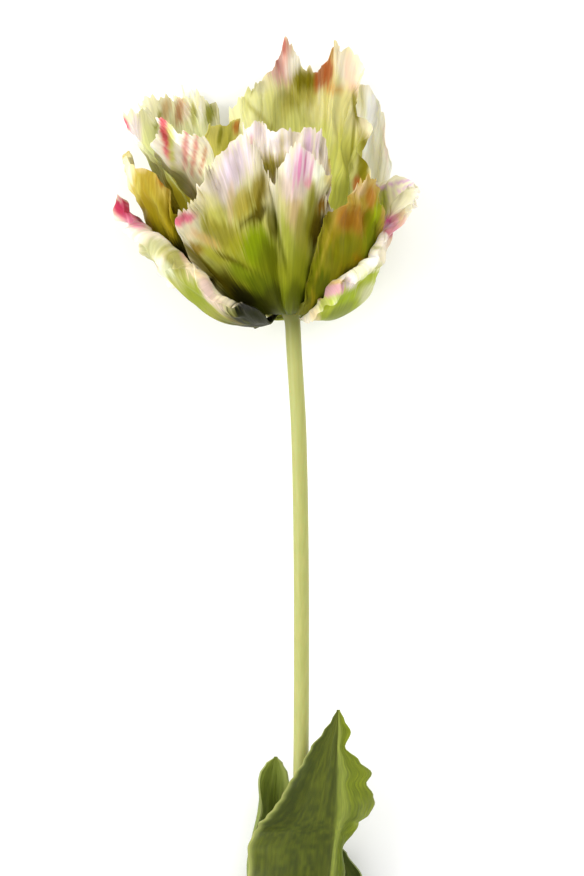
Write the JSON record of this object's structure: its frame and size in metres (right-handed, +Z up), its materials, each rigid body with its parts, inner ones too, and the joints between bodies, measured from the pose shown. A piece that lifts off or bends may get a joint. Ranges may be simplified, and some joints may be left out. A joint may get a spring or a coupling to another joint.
{
  "type": "cut parrot tulip",
  "caption": "Cut parrot tulip lying on its back petal and leaves: a wide open bloom of ruffled, feather-edged petals on a slender stem with clasping leaves.",
  "frame": {"origin": "centre of the flat spot where the lowest petal rests on the surface", "axes": "+Y along the flower from the cut end towards the bloom, +Z up from the surface, +X to the right of the bloom as it is looked down on"},
  "size_m": [0.1257, 0.4708, 0.0931],
  "materials": {
    "outer_petal": "satin, cream margins on yellow-green with a pink tip",
    "olive_petal": "satin, olive green flushed orange-brown",
    "back_petal": "satin, pale yellow-green with peach and pink tips",
    "front_petal": "satin, olive green below, lilac white above with pink streaks",
    "inner_petal": "satin, white with lilac streaks",
    "striped_petal": "satin, cream with pink and yellow-green stripes",
    "leaf": "waxy satin, fine lengthwise veins",
    "stem": "smooth and waxy, pale yellow-green",
    "ovary": "smooth, pale green",
    "stigma": "matt, cream yellow",
    "filament": "smooth, pale green",
    "anther": "powdery, dark purple-brown"
  },
  "bodies": {
    "root": {"petal_left_outer": "outer_petal", "petal_right_outer": "outer_petal", "petal_under": "outer_petal", "petal_right_front": "olive_petal", "petal_left": "olive_petal", "petal_left_middle": "back_petal", "petal_front": "front_petal", "petal_front_inner": "inner_petal", "petal_back": "back_petal", "petal_left_back": "back_petal", "petal_left_inner": "striped_petal", "leaf_front": "leaf", "leaf_left": "leaf", "leaf_right": "leaf", "stem": "stem", "ovary": "ovary", "stigma": "stigma", "filament_1": "filament", "filament_2": "filament", "filament_3": "filament", "filament_4": "filament", "filament_5": "filament", "filament_6": "filament", "anther_1": "anther", "anther_2": "anther", "anther_3": "anther", "anther_4": "anther", "anther_5": "anther", "anther_6": "anther"}
  },
  "joints": []
}
